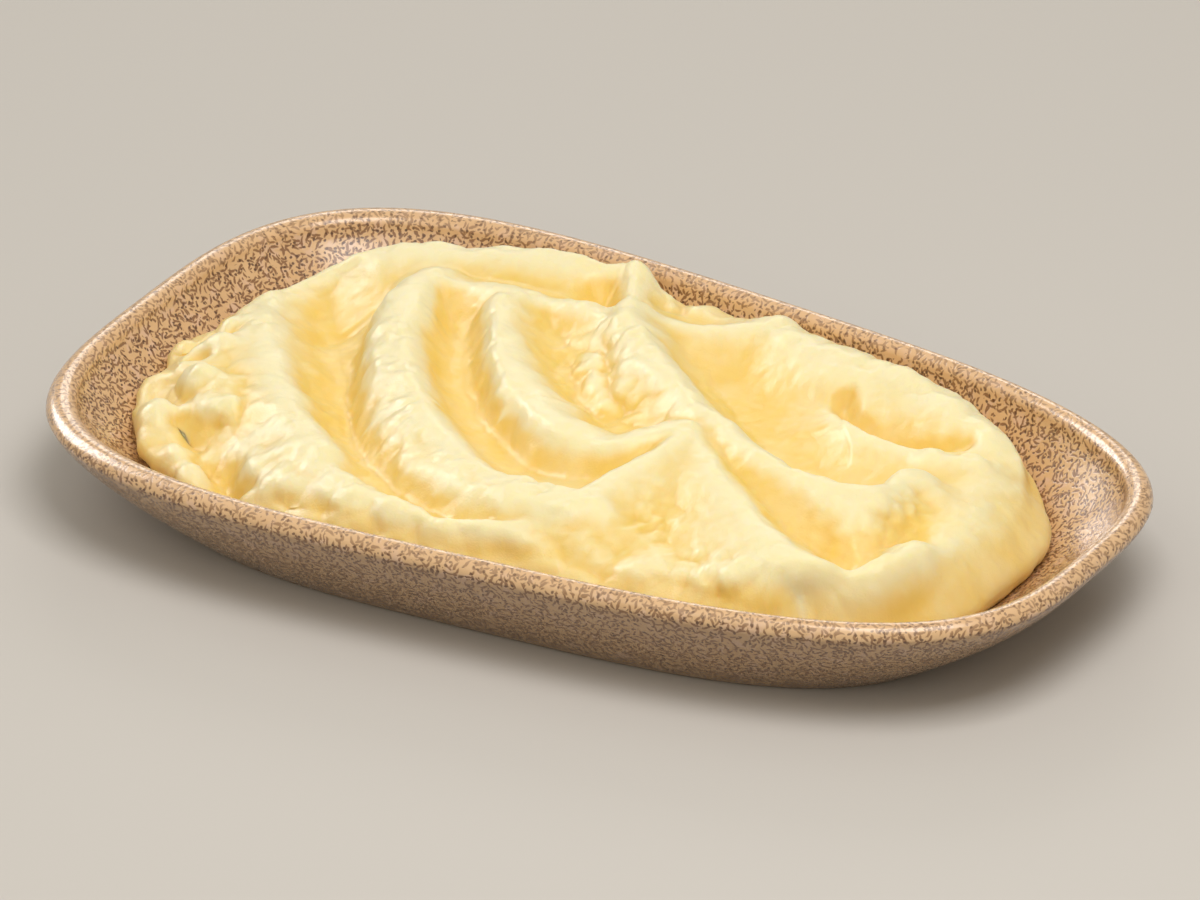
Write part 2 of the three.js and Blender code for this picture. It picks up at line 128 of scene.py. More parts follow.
# x, y, long radius, short radius, turn in degrees, height
LUMPS = [
    (-58, 31, 4, 5, 0, 1.5), (-93, -17, 6, 5, 0, 5.5), (-81, -21, 6, 5, 0, 5.0),
    (-84, -8, 7, 5, 30, 4.0),
    (-78, -44, 8, 6, 0, 5.0), (-66, -53, 6, 5, 0, 4.0), (-71, -29, 6, 4.5, 20, 4.0),
    (-86, -34, 6, 5, 0, 4.5), (-88, 12, 9, 8, 60, 1.5), (-72, -20, 5, 3.5, 40, 2.5),
    (-90, -26, 4, 2.5, 0, -4.5), (-77, -35, 5, 2.5, -20, -4.5), (-75, -14, 3, 2.5, 0, -3.0),
    (-63, -27, 4, 3, 0, -3.0), (-84, -27, 4, 2.5, 0, -3.5), (-88, -2, 3, 2.5, 0, -3.0),
    (-88, -12, 3, 2, 30, -2.5),
    (-51, -54, 5, 4, 0, 4.5), (-46, -45, 5, 4, 0, 3.5), (-30, -57, 8, 5, 10, 3.0),
    (-41, -51, 3, 2.5, 0, -4.0), (-33, -48, 3, 2.5, 0, -3.5), (-24, -50, 4, 3, 0, -3.0),
    (-37, -45, 2.5, 2, 0, -2.5), (-56, -46, 3, 2.5, 0, -2.5),
    (25, -31, 14, 12, 0, 4.5), (46, -44, 14, 8, 10, 3.0), (64, -44, 12, 7, 20, 2.0),
    (16, -54, 12, 6, 0, 2.5), (28, -34, 4, 3, 0, -3.0), (38, -35, 4, 3, 0, -2.0),
    (5, -56, 4, 3, 0, -2.5), (47, -41, 3, 3, 0, -1.5), (77, 4, 12, 22, 10, 4.5),
    (82, -18, 9, 14, 10, 3.5), (74, 20, 8, 7, 0, 2.0), (63, 17, 3, 3, 0, -2.0),
    (68, 5, 3, 2.5, 0, -1.5), (48, 40, 12, 6, -15, 1.5), (-70, 36, 10, 8, 40, 1.0),
    (-11, 53, 5, 4, 0, 3.0), (8, 52, 6, 4, 0, 3.0), (29, 48, 7, 5, 0, 3.0),
    (18, 45, 4, 4, 0, -3.5), (0, 50, 3, 3, 0, -2.5), (-71, 20, 3, 8, -20, -1.5),
]
# curve, depth at start, middle and end, width
GROOVES = [
    ([(-82, 28), (-63, 1), (-37, -44), (2, -38)], (4.5, 4.2, 0.5), 7),
    ([(-56, 39), (-54, 22), (0, -52), (9, -5)], (1, 2, 1), 4.5),
    ([(-37, 39), (-34, 25), (-18, 4), (-3, 3)], (1, 2, 1), 5),
    ([(-15, 47), (-4, 40), (57, -20), (53, 22)], (1.5, 4, 2), 11),
    ([(36, -11), (55, -17), (80, -41), (69, 0)], (0, 3, 2), 5),
    ([(34, 34), (38, 28), (48, 26), (63, 30)], (4, 4, 2), 2.4),
    ([(-94, -8), (-91, -6), (-88, -4), (-86, 3)], (2, 3, 1), 2.2),
    ([(-74, -38), (-67, -42), (-60, -46), (-54, -56)], (2, 5, 5), 4.5),
    ([(-33, 52), (-30, 47), (-27, 44), (-22, 40)], (1, 4, 2), 4),
]
# Bands where the mash tore and left grains: curve, half-width, strength
CURD_BANDS = [
    ([(-60, 20), (-56, 2), (-46, -12), (-28, -28)], 4.5, 0.8),
    ([(-28, -28), (-16, -38), (-4, -42), (10, -38)], 3.5, 0.8),
    ([(-38, 12), (-28, -4), (-12, -14), (6, -16)], 1.6, 0.35),
    ([(-22, 34), (-18, 22), (-12, 12), (-4, 4)], 6.0, 1.0),
    ([(-6, -38), (6, -36), (15, -30), (20, -12)], 3.5, 0.7),
    ([(-10, 26), (-4, 16), (4, 8), (14, 2)], 4.0, 0.9),
    ([(64, -20), (68, -16), (70, -10), (70, 0)], 6.0, 0.8),
    ([(26, -30), (34, -38), (46, -44), (60, -46)], 6.0, 0.8),
    ([(-90, -6), (-88, -22), (-78, -36), (-60, -50)], 11.0, 0.6),
    ([(-52, -50), (-42, -46), (-30, -48), (-14, -52)], 7.0, 0.6),
]
# Bands of bigger unworked lumps: curve, half-width, strength
LUMPY_BANDS = [
    ([(-93, -2), (-92, -22), (-78, -40), (-58, -54)], 12.0, 1.0),
    ([(-60, -50), (-46, -46), (-30, -52), (-6, -56)], 7.0, 1.0),
    ([(18, -50), (36, -46), (54, -48), (70, -40)], 6.0, 0.8),
    ([(-92, 4), (-90, 40), (-60, 50), (-30, 58)], 4.0, 0.5),
    ([(-14, 58), (4, 52), (24, 50), (60, 40)], 6.0, 0.8),
    ([(60, 26), (66, 12), (72, 4), (70, -4)], 5.0, 0.6),
    ([(-21, 34), (-17, 22), (-9, 12), (2, 5)], 6.0, 0.8),
]


# ---- Noise, from fixed seeds ----

def hashed_cells(cells, permutation):
    """A repeatable random number from 0 to 255 for each whole-numbered cell."""
    code = permutation[cells[:, 0] % 256]
    code = permutation[(code + cells[:, 1]) % 256]
    return permutation[(code + cells[:, 2]) % 256]


def smooth_noise(points, wavelength, seed):
    """Smooth noise of about -1 to 1, from random slopes on a lattice."""
    generator = np.random.default_rng(seed)
    slopes = generator.normal(size=(256, 3))
    slopes /= np.linalg.norm(slopes, axis=1, keepdims=True)
    permutation = generator.permutation(256)
    scaled = points / wavelength
    cells = np.floor(scaled).astype(int)
    inside = scaled - cells
    ease = inside ** 3 * (inside * (inside * 6 - 15) + 10)
    total = np.zeros(len(points))
    for corner in itertools.product((0, 1), repeat=3):
        slope = slopes[hashed_cells(cells + corner, permutation)]
        weight = np.where(corner, ease, 1 - ease).prod(axis=1)
        total += weight * ((inside - corner) * slope).sum(axis=1)
    return 1.6 * total


def grain_domes(points, size, seed):
    """Packed round grains: 1 at the middle of a grain, 0 in the gaps between grains."""
    generator = np.random.default_rng(seed)
    middles = generator.uniform(0.1, 0.9, size=(256, 3))
    permutation = generator.permutation(256)
    scaled = points / size
    cells = np.floor(scaled).astype(int)
    inside = scaled - cells
    nearest = np.full(len(points), 9.0)
    for step in itertools.product((-1, 0, 1), repeat=3):
        middle = middles[hashed_cells(cells + step, permutation)] + step
        nearest = np.minimum(nearest, ((inside - middle) ** 2).sum(axis=1))
    return np.clip(1 - nearest, 0, 1)


# ---- Dish form ----

def outline(angle):
    """Unit rounded rectangle, in the direction of an ellipse's angle."""
    c, s = np.cos(angle), np.sin(angle)
    scale = (np.abs(c) ** CORNER_EXPONENT + np.abs(s) ** CORNER_EXPONENT) ** (-1 / CORNER_EXPONENT)
    return c * scale, s * scale


def inner_height(part):
    """Height of the inner wall, from part 0 at the lip to 1 at the floor."""
    rise = (1 - part ** INNER_EASE_TOP) ** INNER_EASE_FLOOR
    return FLOOR_THICKNESS + (LIP_CENTRE_HEIGHT - FLOOR_THICKNESS) * rise


def dish_profile():
    """Rings of the dish as (inset at the ends, inset at the sides, height), foot to floor."""
    rings = [(FOOT_INSET[0] + inset, FOOT_INSET[1] + inset, height) for inset, height in FOOT_RINGS]
    for part in np.linspace(0.03, 1, OUTER_WALL_RINGS, endpoint=False):
        inset = (1 - part) ** OUTER_FLARE
        rings.append((FOOT_INSET[0] * inset, FOOT_INSET[1] * inset, LIP_CENTRE_HEIGHT * part))
    for turn in np.linspace(0, math.pi, LIP_RINGS, endpoint=False):
        inset = LIP_RADIUS * (1 - math.cos(turn))
        rings.append((inset, inset, LIP_CENTRE_HEIGHT + LIP_RADIUS * math.sin(turn)))
    for part in np.linspace(0, 1, INNER_WALL_RINGS):
        rings.append((2 * LIP_RADIUS + INNER_RUN[0] * part, 2 * LIP_RADIUS + INNER_RUN[1] * part,
                      inner_height(part)))
    for extra in FLOOR_RING_STEPS:
        rings.append((2 * LIP_RADIUS + INNER_RUN[0] + extra, 2 * LIP_RADIUS + INNER_RUN[1] + extra,
                      FLOOR_THICKNESS))
    return rings


def dish_mesh_data():
    angle = np.arange(DISH_SEGMENTS) * 2 * math.pi / DISH_SEGMENTS
    u, v = outline(angle)
    points = []
    for end_inset, side_inset, height in dish_profile():
        x = (DISH_LENGTH / 2 - end_inset) * u
        y = (DISH_WIDTH / 2 - side_inset) * v * (1 + WIDTH_TAPER * x / (DISH_LENGTH / 2))
        points.append(np.column_stack([x, y, np.full(DISH_SEGMENTS, height)]))
    rings = len(points)
    points = np.concatenate(points)
    lift = np.clip(points[:, 2] / DISH_HEIGHT, 0, 1)
    points[:, 2] -= LIP_SAG * lift * (0.5 + 0.5 * smooth_noise(points * (1, 1, 0), 70, 3))
    around = smooth_noise(points * (1, 1, 0.4), 55, 4)
    points[:, :2] *= (1 - OUTLINE_WOBBLE * lift * (0.5 + 0.5 * around))[:, None]
    faces = []
    for ring in range(rings - 1):
        low = ring * DISH_SEGMENTS
        for i in range(DISH_SEGMENTS):
            j = (i + 1) % DISH_SEGMENTS
            faces.append((low + i, low + j, low + DISH_SEGMENTS + j, low + DISH_SEGMENTS + i))
    faces.append(tuple(range(DISH_SEGMENTS))[::-1])
    last = (rings - 1) * DISH_SEGMENTS
    faces.append(tuple(range(last, last + DISH_SEGMENTS)))
    return points, faces


def outline_radius(x, y, end_inset, side_inset):
    """1 on the rounded rectangle with these insets from the dish's edge, less inside it."""
    taper = 1 + WIDTH_TAPER * np.clip(x / (DISH_LENGTH / 2), -1.1, 1.1)
    across = np.abs(x / (DISH_LENGTH / 2 - end_inset)) ** CORNER_EXPONENT
    down = np.abs(y / ((DISH_WIDTH / 2 - side_inset) * taper)) ** CORNER_EXPONENT
    return (across + down) ** (1 / CORNER_EXPONENT)


def dish_surface(x, y):
    """Height of the dish's inner surface under each point, found by halving the wall's run."""
    low, high = np.zeros_like(x), np.ones_like(x)
    for _ in range(22):
        middle = (low + high) / 2
        inside = outline_radius(x, y, 2 * LIP_RADIUS + INNER_RUN[0] * middle,
                                2 * LIP_RADIUS + INNER_RUN[1] * middle) < 1
        low, high = np.where(inside, middle, low), np.where(inside, high, middle)
    return inner_height((low + high) / 2)


# ---- Heap form ----

def along(values, t):
    """Value of a quantity given at the start, middle and end of a curve."""
    start, middle, end = values
    return start * (1 - t) * (1 - 2 * t) + middle * 4 * t * (1 - t) + end * t * (2 * t - 1)


def curve_points(corners, count=40):
    t = np.linspace(0, 1, count)[:, None]
    a, b, c, d = np.array(corners, float)
    return (1 - t) ** 3 * a + 3 * (1 - t) ** 2 * t * b + 3 * (1 - t) * t ** 2 * c + t ** 3 * d


def nearest_on(x, y, points):
    """Distance to a line of points, how far along it, and 1 to the left of it, 0 to the right."""
    best = np.full(x.shape, 1e9)
    where = np.zeros(x.shape)
    left = np.ones(x.shape)
    for i in range(len(points) - 1):
        (ax, ay), (dx, dy) = points[i], points[i + 1] - points[i]
        share = np.clip(((x - ax) * dx + (y - ay) * dy) / (dx * dx + dy * dy), 0, 1)
        ex, ey = x - ax - share * dx, y - ay - share * dy
        distance = ex * ex + ey * ey
        closer = distance < best
        best = np.where(closer, distance, best)
        where = np.where(closer, (i + share) / (len(points) - 1), where)
        across = (dx * ey - dy * ex) / (np.sqrt(distance) * math.hypot(dx, dy) + 1e-9)
        left = np.where(closer, 0.5 + 0.5 * across, left)
    return np.sqrt(best), where, left


def smooth_max(a, b, fillet):
    h = np.clip(0.5 + 0.5 * (a - b) / fillet, 0, 1)
    return b * (1 - h) + a * h + fillet * h * (1 - h)


def flank_fall(distance, t, reach, drop, power):
    """How far a crest's flank has dropped at this distance: an S-shaped slope, then a tail."""
    reach, drop = along(reach, t), along(drop, t)
    share = np.clip(distance / reach, 0, 1) ** power
    return drop * share * share * (3 - 2 * share) + CREST_TAIL_SLOPE * np.maximum(distance - reach, 0)


def heap_radius(x, y):
    """1 on the heap's outline, less inside it, with the direction's unit coordinates."""
    u = (x - HEAP_CENTRE[0]) / HEAP_HALF_LENGTH
    v = (y - HEAP_CENTRE[1]) / (HEAP_HALF_WIDTH * (1 + HEAP_TAPER * u))
    return (np.abs(u) ** HEAP_EXPONENT + np.abs(v) ** HEAP_EXPONENT) ** (1 / HEAP_EXPONENT), u, v


def heap_edge_height(x, y):
    """Height of the dish where the heap's outline lies, in each point's direction."""
    radius, u, v = heap_radius(x, y)
    radius = np.maximum(radius, 1e-3)
    u, v = u / radius, v / radius
    edge_x = HEAP_CENTRE[0] + HEAP_HALF_LENGTH * u
    edge_y = HEAP_CENTRE[1] + HEAP_HALF_WIDTH * (1 + HEAP_TAPER * u) * v
    return dish_surface(edge_x, edge_y)


def heap_height(x, y):
    """Height of the worked heap."""
    radius = np.minimum(heap_radius(x, y)[0], 1)
    edge = heap_edge_height(x, y) + EDGE_BULGE
    swell = (1 - radius ** HEAP_SHOULDER) ** HEAP_EDGE
    height = edge + (np.maximum(HEAP_TOP, edge) - edge) * swell
    front = np.clip(0.5 - y / FRONT_DEPTH, 0, 1)
    fade = np.clip((1 - radius) / (CREST_FADE + FRONT_FADE * front), 0, 1)
    fade = fade * fade * (3 - 2 * fade)
    for lump_x, lump_y, long, wide, turn, rise in LUMPS:
        c, s = math.cos(math.radians(turn)), math.sin(math.radians(turn))
        p = ((x - lump_x) * c + (y - lump_y) * s) / long
        q = ((y - lump_y) * c - (x - lump_x) * s) / wide
        height = height + rise * np.exp(-(p * p + q * q)) * np.sqrt(fade)
    for _, curve, heights, *flanks in CRESTS:
        distance, t, left = nearest_on(x, y, curve_points(curve))
        fall = left * flank_fall(distance, t, *flanks[:3])
        fall += (1 - left) * flank_fall(distance, t, *flanks[3:])
        crest = height * (1 - fade) + along(heights, t) * fade
        height = smooth_max(height, crest - fall, CREST_FILLET)
    for curve, depth, width in GROOVES:
        distance, t, _ = nearest_on(x, y, curve_points(curve))
        height = height - along(depth, t) * np.exp(-(distance / width) ** 2)
    return height


def blurred(grid, spread):
    """A grid of heights averaged over this many cells round each."""
    for axis in range(2):
        cell = np.arange(len(grid))
        weight = np.exp(-0.5 * ((cell[:, None] - cell) / spread) ** 2)
        grid = (weight @ grid / weight.sum(axis=1, keepdims=True)).T
    return grid


def band_strength(x, y, bands):
    """How strongly each point lies in the nearest of these bands, from 0 to 1."""
    strongest = np.zeros_like(x)
    for curve, width, strength in bands:
        distance = nearest_on(x, y, curve_points(curve))[0]
        strongest = np.maximum(strongest, strength * np.exp(-(distance / width) ** 2))
    return strongest


def crest_closeness(x, y, width):
    """1 on the line of a crest, fading over this width."""
    return band_strength(x, y, [(curve, width, 1.0) for _, curve, *_ in CRESTS])


def surface_relief(points, edge):
    """Height of the curds, lumps and grain above the worked surface."""
    x, y = points[:, 0], points[:, 1]
    curdled = band_strength(x, y, CURD_BANDS)
    curdled = np.maximum(curdled, 0.45 * crest_closeness(x, y, 2.0))
    patches = np.clip(0.5 + 1.1 * smooth_noise(points, 9, 21), 0, 1)
    curdled = np.clip(curdled * patches * 1.4 + 0.10 * patches, 0, 1)
    lumpy = band_strength(x, y, LUMPY_BANDS)
    relief = 0.4 * smooth_noise(points, 15, 22)
    relief += 3.2 * (grain_domes(points, 10, 29) - 0.65) * lumpy
    relief += 1.3 * (grain_domes(points, 5.5, 30) - 0.6) * lumpy
    relief += 0.55 * smooth_noise(points, 6, 23) * (0.15 + curdled)
    relief += 1.3 * (grain_domes(points, 4.2, 24) - 0.6) * curdled
    relief += 0.6 * (grain_domes(points, 2.2, 25) - 0.6) * curdled
    relief += 0.13 * smooth_noise(points, 1.8, 26)
    rough_end = np.clip(0.75 - x / 160, 0.3, 1)
    wander = 1.9 * smooth_noise(points, 8, 27) + 1.6 * smooth_noise(points, 22, 28)
    return relief + edge * rough_end * wander


def hollowness(points, normal, calm, columns, rows):
    """Painted shade: how far the surface sinks, from its height against the average height round it,
    as a share of deeper yellow painted into hollows where shade falls. Steep flanks get this painted
    shade too, and the rims thrown up by the spoon do not."""
    level = points[:, 2].reshape(columns, rows)
    hollow_shade = np.full_like(level, 0.5)
    for spread, depth in ((16, 10.0), (6, 7.0), (2.3, 2.4)):
        hollow_shade += (blurred(level, spread) - level) / depth * calm.reshape(columns, rows)
    return hollow_shade.ravel() + 0.36 * (1 - np.abs(normal[:, 2])) * (0.4 + 0.6 * calm)


def heap_mesh_data():
    columns, rows = HEAP_CELLS[0] + 1, HEAP_CELLS[1] + 1
    s, t = np.meshgrid(np.linspace(-1, 1, columns), np.linspace(-1, 1, rows), indexing="ij")
    s, t = s.ravel(), t.ravel()
    reach = np.maximum(np.abs(s), np.abs(t))
    row_from_edge = (1 - reach) * HEAP_CELLS[1] / 2
    roll = np.clip(1 - row_from_edge / EDGE_ROWS, 0, 1)
    roll_start = 1 - 2 * EDGE_ROWS / HEAP_CELLS[1]
    plan = np.minimum(reach / roll_start, 1)
    norm = (np.abs(s) ** HEAP_EXPONENT + np.abs(t) ** HEAP_EXPONENT) ** (1 / HEAP_EXPONENT)
    scale = plan / np.maximum(norm, 1e-9)
    u, v = s * scale, t * scale
    x = HEAP_CENTRE[0] + HEAP_HALF_LENGTH * u
    y = HEAP_CENTRE[1] + HEAP_HALF_WIDTH * (1 + HEAP_TAPER * u) * v

    flat = np.column_stack([x, y, np.zeros_like(x)])
    calm = np.clip((1 - plan) / 0.1, 0, 1)
    warp_x = 1.0 * smooth_noise(flat, 11, 11) + 0.5 * smooth_noise(flat, 4.5, 12)
    warp_y = 1.0 * smooth_noise(flat, 11, 13) + 0.5 * smooth_noise(flat, 4.5, 14)
    height = heap_height(x + warp_x * calm, y + warp_y * calm)

    # Roll the outermost rows under, down to the dish.
    turn = roll * math.pi / 2
    inward = EDGE_BULGE * (1 - np.cos(turn))
    length = np.hypot(x - HEAP_CENTRE[0], y - HEAP_CENTRE[1])
    x = x - (x - HEAP_CENTRE[0]) / np.maximum(length, 1) * inward
    y = y - (y - HEAP_CENTRE[1]) / np.maximum(length, 1) * inward
    surface = dish_surface(x, y)
    rolled = surface - 0.4 + (height - surface + 0.4) * (1 - np.sin(turn))
    height = np.where(roll > 0, rolled, np.maximum(height, surface + 0.5))

    points = np.column_stack([x, y, height])
    grid = points.reshape(columns, rows, 3)
    normal = np.cross(np.gradient(grid, axis=0), np.gradient(grid, axis=1)).reshape(-1, 3)
    normal /= np.linalg.norm(normal, axis=1, keepdims=True)

    # Painted highlight: crest lines take less of the painted shade, so they come out a paler cream.
    crest_highlight = crest_closeness(x, y, 2.2)
    edge = np.clip(1 - (1 - plan) / 0.12, 0, 1)
    points = points + normal * (surface_relief(points, edge) * (1 - roll ** 3))[:, None]
    hollow_shade = np.clip(hollowness(points, normal, calm, columns, rows) - 0.22 * crest_highlight, 0, 1)

    index = np.arange(columns * rows).reshape(columns, rows)
    quads = np.stack([index[:-1, :-1], index[1:, :-1], index[1:, 1:], index[:-1, 1:]], axis=-1)
    faces = [tuple(face) for face in quads.reshape(-1, 4).tolist()]
    border = np.concatenate([index[:-1, 0], index[-1, :-1], index[:0:-1, -1], index[0, :0:-1]])
    ring = border
    under = [points]
    count = len(points)
    for scale in UNDERSIDE_RINGS:
        ring_x = HEAP_CENTRE[0] + (points[border, 0] - HEAP_CENTRE[0]) * scale
        ring_y = HEAP_CENTRE[1] + (points[border, 1] - HEAP_CENTRE[1]) * scale
        under.append(np.column_stack([ring_x, ring_y, dish_surface(ring_x, ring_y) + 0.1]))
        inner = np.arange(count, count + len(border))
        count += len(border)
        nexts = np.roll(ring, -1)
        faces += list(zip(ring.tolist(), inner.tolist(), np.roll(inner, -1).tolist(),
                          nexts.tolist()))
        ring = inner
    faces.append(tuple(ring.tolist())[::-1])
    points = np.concatenate(under)
    hollow_shade = np.concatenate([hollow_shade, np.ones(len(points) - len(hollow_shade))])
    return points, faces, hollow_shade


# ---- Meshes and materials ----

def mesh_object(name, points, faces):
    mesh = bpy.data.meshes.new(name)
    mesh.from_pydata((points * MM).tolist(), [], faces)
    mesh.validate()
    mesh.shade_smooth()
    made = bpy.data.objects.new(name, mesh)
    bpy.context.scene.collection.objects.link(made)
    return made


class Shader:
    """A material's node tree, with one call to add a node and fill its inputs."""

    def __init__(self, name):
        self.material = bpy.data.materials.new(name)
        self.material.use_nodes = True
        self.tree = self.material.node_tree
        self.surface = self.tree.nodes["Principled BSDF"]

    def add(self, kind, inputs=None, **settings):
        node = self.tree.nodes.new("ShaderNode" + kind)
        for key, value in settings.items():
            setattr(node, key, value)
        self.fill(node, inputs or {})
        return node

    def fill(self, node, inputs):
        for key, value in inputs.items():
            if isinstance(value, bpy.types.NodeSocket):
                self.tree.links.new(value, node.inputs[key])
            else:
                node.inputs[key].default_value = value

    def math(self, operation, *values):
        return self.add("Math", dict(enumerate(values)), operation=operation).outputs[0]

    def vector(self, operation, *values):
        node = self.add("VectorMath", operation=operation)
        vectors = [s for s in node.inputs if s.type == "VECTOR"]
        for socket, value in zip(vectors, values):
            if isinstance(value, bpy.types.NodeSocket):
                self.tree.links.new(value, socket)
            else:
                socket.default_value = value
        scalar = operation in ("DOT_PRODUCT", "LENGTH", "DISTANCE")
        return node.outputs["Value" if scalar else "Vector"]

    def ramp(self, value, low, high):
        node = self.add("MapRange", {"Value": value, "From Min": low, "From Max": high},
                        interpolation_type="SMOOTHSTEP")
        return node.outputs["Result"]

    def mix(self, factor, a, b):
        node = self.add("Mix", data_type="RGBA")
        for key, value in (("Factor_Float", factor), ("A_Color", a), ("B_Color", b)):
            socket = next(s for s in node.inputs if s.identifier == key)
            if isinstance(value, bpy.types.NodeSocket):
                self.tree.links.new(value, socket)
            elif key == "Factor_Float":
                socket.default_value = value
            else:
                socket.default_value = (*value, 1)
        return next(s for s in node.outputs if s.identifier == "Result_Color")

    def noise(self, scale, detail=2.0, roughness=0.5, vector=None):
        inputs = {"Scale": scale, "Detail": detail, "Roughness": roughness}
        if vector is not None:
            inputs["Vector"] = vector
        return self.add("TexNoise", inputs).outputs["Fac"]


def linear(red, green, blue):
    """Linear colour from 0-255 sRGB values."""
    return tuple((c / 255 / 12.92) if c <= 10 else ((c / 255 + 0.055) / 1.055) ** 2.4
                 for c in (red, green, blue))


def marks(shader, place, normal, cell, half_length, half_width, bend, share):
    """Curved strokes, one in a cell at most: 1 on a stroke and 0 off it."""
    voronoi = shader.add("TexVoronoi", {"Vector": place, "Scale": 1 / (cell * MM)})
    offset = shader.vector("SUBTRACT", place, voronoi.outputs["Position"])
    random = shader.vector("SUBTRACT", voronoi.outputs["Color"], (0.5, 0.5, 0.5))
    side = shader.vector("NORMALIZE", shader.vector("CROSS_PRODUCT", normal, random))
    ahead = shader.vector("CROSS_PRODUCT", side, normal)
    p = shader.math("DIVIDE", shader.vector("DOT_PRODUCT", offset, ahead), half_length * MM)
    q = shader.math("DIVIDE", shader.vector("DOT_PRODUCT", offset, side), half_width * MM)
    p_squared = shader.math("MULTIPLY", p, p)
    q = shader.math("SUBTRACT", q, shader.math("MULTIPLY", p_squared, bend))
    reach = shader.math("ADD", p_squared, shader.math("MULTIPLY", q, q))
    split = shader.add("SeparateXYZ", {"Vector": voronoi.outputs["Color"]})
    kept = shader.math("LESS_THAN", split.outputs["X"], share)
    return shader.math("MULTIPLY", shader.ramp(reach, 1.7, 0.4), kept)


def stoneware_material():
    shader = Shader("speckled_stoneware")
    place = shader.add("TexCoord").outputs["Object"]
    normal = shader.add("NewGeometry").outputs["Normal"]
    wobble = shader.add("TexNoise", {"Vector": place, "Scale": 900.0, "Detail": 2.0})
    wobble = shader.vector("SUBTRACT", wobble.outputs["Color"], (0.5, 0.5, 0.5))
    warped = shader.vector("ADD", place, shader.vector("MULTIPLY", wobble, (0.0006,) * 3))

    strokes = marks(shader, warped, normal, 1.9, 1.1, 0.27, 0.9, 0.9)
    second = marks(shader, shader.vector("ADD", warped, (0.03, 0.07, 0.05)), normal,
                   1.5, 0.75, 0.24, -0.8, 0.7)
    dots = marks(shader, shader.vector("ADD", warped, (0.11, 0.02, 0.09)), normal,
                 1.2, 0.34, 0.27, 0.0, 0.4)
    strokes = shader.math("MAXIMUM", strokes, second)

    height = shader.add("SeparateXYZ", {"Vector": place}).outputs["Z"]
    lip = shader.ramp(height, 0.0195, 0.0228)
    body = shader.mix(shader.noise(120, 3, 0.6, place),
                      linear(211, 170, 121), linear(232, 196, 150))
    body = shader.mix(shader.ramp(shader.noise(330, 2, 0.5, place), 0.52, 0.68), body,
                      linear(224, 188, 156))
    body = shader.mix(shader.math("MULTIPLY", lip, 0.5), body, linear(238, 198, 154))
    fade = shader.math("SUBTRACT", 0.92, shader.math("MULTIPLY", lip, 0.35))
    colour = shader.mix(shader.math("MULTIPLY", strokes, fade), body, linear(132, 92, 58))
    colour = shader.mix(shader.math("MULTIPLY", dots, fade), colour, linear(92, 60, 40))
    strokes = shader.math("MAXIMUM", strokes, dots)

    # Painted shade: the colour is darkened where the surface faces downwards, on the outer wall under
    # the lip, standing in for its shadow. The underside is bare.
    facing = shader.add("SeparateXYZ", {"Vector": normal}).outputs["Z"]
    painted_shade_below = shader.math("MULTIPLY", shader.ramp(facing, 0.05, -0.35), 0.5)
    colour = shader.mix(painted_shade_below, colour, linear(112, 86, 64))
    underside = shader.math("MULTIPLY", shader.math("LESS_THAN", height, 0.0012),
                            shader.math("LESS_THAN", facing, -0.5))
    colour = shader.mix(underside, colour, linear(186, 158, 128))

    roughness = shader.math("ADD", 0.24, shader.math("MULTIPLY", strokes, 0.12))
    roughness = shader.math("ADD", roughness, shader.math("MULTIPLY", underside, 0.5))
    relief = shader.math("ADD", shader.math("MULTIPLY", strokes, -0.5),
                         shader.noise(500, 3, 0.6, place))
    bump = shader.add("Bump", {"Height": relief, "Strength": 0.25, "Distance": 0.0002})
    shader.fill(shader.surface, {
        "Base Color": colour, "Roughness": roughness, "Normal": bump.outputs["Normal"],
        "IOR": 1.5, "Coat Weight": 0.6, "Coat Roughness": 0.2,
    })
    return shader.material


def potato_material():
    shader = Shader("mashed_potato")
    place = shader.add("TexCoord").outputs["Object"]
    hollow_shade = shader.add("Attribute", attribute_name="hollow_shade").outputs["Fac"]
    # Painted shade and highlight: hollows and steep flanks are painted a deeper yellow where shade
    # falls, and tops and crest lines a paler cream where light falls.
    painted_shade_tint = shader.ramp(hollow_shade, 0.05, 0.82)
    colour = shader.mix(painted_shade_tint, linear(253, 236, 190), linear(243, 211, 114))
    clouds = shader.ramp(shader.noise(70, 3, 0.55, place), 0.35, 0.7)
    colour = shader.mix(shader.math("MULTIPLY", clouds, 0.3), colour, linear(254, 239, 202))
    wet = shader.ramp(shader.noise(160, 3, 0.6, place), 0.3, 0.75)
    roughness = shader.math("ADD", 0.30, shader.math("MULTIPLY", wet, 0.24))
    grain = shader.math("ADD", shader.noise(900, 3, 0.6, place), shader.noise(2400, 2, 0.5, place))
    bump = shader.add("Bump", {"Height": grain, "Strength": 0.3, "Distance": 0.0002})
    shader.fill(shader.surface, {
        "Base Color": colour, "Roughness": roughness, "Normal": bump.outputs["Normal"],
        "Subsurface Weight": 0.85, "Subsurface Radius": (1.0, 0.85, 0.5),
        "Subsurface Scale": 0.0028, "IOR": 1.4,
    })
    return shader.material


def make_dish():
    points, faces = dish_mesh_data()
    dish = mesh_object("stoneware_dish", points, faces)
    dish.data.materials.append(stoneware_material())
    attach(dish, "root")
    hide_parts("dish")


def make_heap():
    points, faces, hollow_shade = heap_mesh_data()
    heap = mesh_object("potato_heap", points, faces)
    # The share of painted shade is kept on each point for the material.
    attribute = heap.data.attributes.new("hollow_shade", "FLOAT", "POINT")
    attribute.data.foreach_set("value", hollow_shade.astype(np.float32))
    heap.data.materials.append(potato_material())
    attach(heap, "root")
    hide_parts("mash")


# ---- Camera, floor and light ----

CAMERA_AZIMUTH = math.radians(30.44)
CAMERA_ELEVATION = math.radians(27.88)
CAMERA_DISTANCE = 2.933
CAMERA_LENS = 445.2
CAMERA_AIM = (-0.0021, 0.0150)  # right of and above the dish's origin, across the view


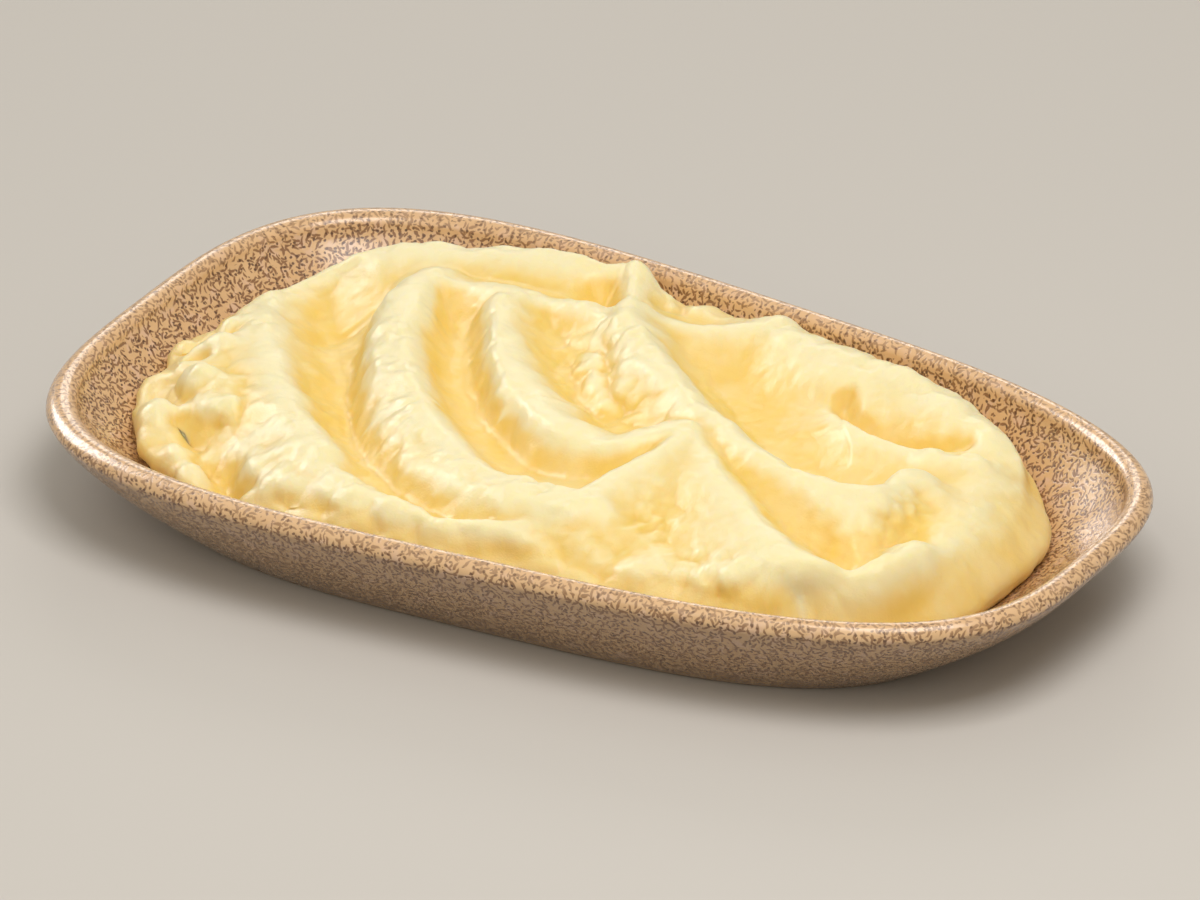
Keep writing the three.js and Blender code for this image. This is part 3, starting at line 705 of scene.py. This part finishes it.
def make_camera():
    c, s = math.cos(CAMERA_AZIMUTH), math.sin(CAMERA_AZIMUTH)
    level, rise = math.cos(CAMERA_ELEVATION), math.sin(CAMERA_ELEVATION)
    back = Vector((s * level, -c * level, rise))
    right = Vector((c, s, 0))
    up = Vector((-s * rise, c * rise, level))
    data = bpy.data.cameras.new("camera")
    data.sensor_width = 36
    data.lens = CAMERA_LENS
    data.clip_end = 20
    camera = bpy.data.objects.new("camera", data)
    turn = Matrix((right, up, back)).transposed().to_4x4()
    place = back * CAMERA_DISTANCE + right * CAMERA_AIM[0] + up * CAMERA_AIM[1]
    camera.matrix_world = Matrix.Translation(place) @ turn
    bpy.context.scene.collection.objects.link(camera)
    bpy.context.scene.camera = camera


def make_floor():
    bpy.ops.mesh.primitive_plane_add(size=6)
    floor = bpy.context.active_object
    floor.name = "studio_floor"
    shader = Shader("studio_floor")
    shader.fill(shader.surface, {"Base Color": (0.60, 0.58, 0.55, 1), "Roughness": 0.9})
    floor.data.materials.append(shader.material)


def area_light(name, direction, distance, size, power, colour):
    data = bpy.data.lights.new(name, "AREA")
    data.shape = "RECTANGLE"
    data.size, data.size_y = size
    data.energy = power
    data.color = colour
    light = bpy.data.objects.new(name, data)
    away = Vector(direction).normalized()
    light.matrix_world = (Matrix.Translation(away * distance)
                          @ away.to_track_quat("Z", "Y").to_matrix().to_4x4())
    bpy.context.scene.collection.objects.link(light)
    return light


def make_lights():
    area_light("key", (0.30, -0.20, 1.0), 0.9, (0.5, 0.5), 4.5, (1.0, 0.97, 0.95))
    area_light("back_low", (-0.45, 0.76, 0.47), 0.9, (0.4, 0.25), 1.0, (1.0, 0.98, 0.96))
    # This one shows in reflections only.
    reflector = area_light("left_low", (-0.84, 0.12, 0.53), 0.9, (0.5, 0.5), 7.0,
                           (1.0, 0.98, 0.96))
    reflector.visible_diffuse = False
    area_light("fill", (0.05, -0.85, 0.75), 1.2, (0.8, 0.8), 1.7, (1.0, 0.96, 0.87))
    world = bpy.data.worlds.new("studio")
    world.use_nodes = True
    background = world.node_tree.nodes["Background"]
    background.inputs["Color"].default_value = (1.0, 0.92, 0.78, 1)
    background.inputs["Strength"].default_value = 0.42
    bpy.context.scene.world = world
    bpy.context.scene.view_settings.view_transform = "Standard"


make_camera()
make_dish()
make_heap()
make_floor()
make_lights()
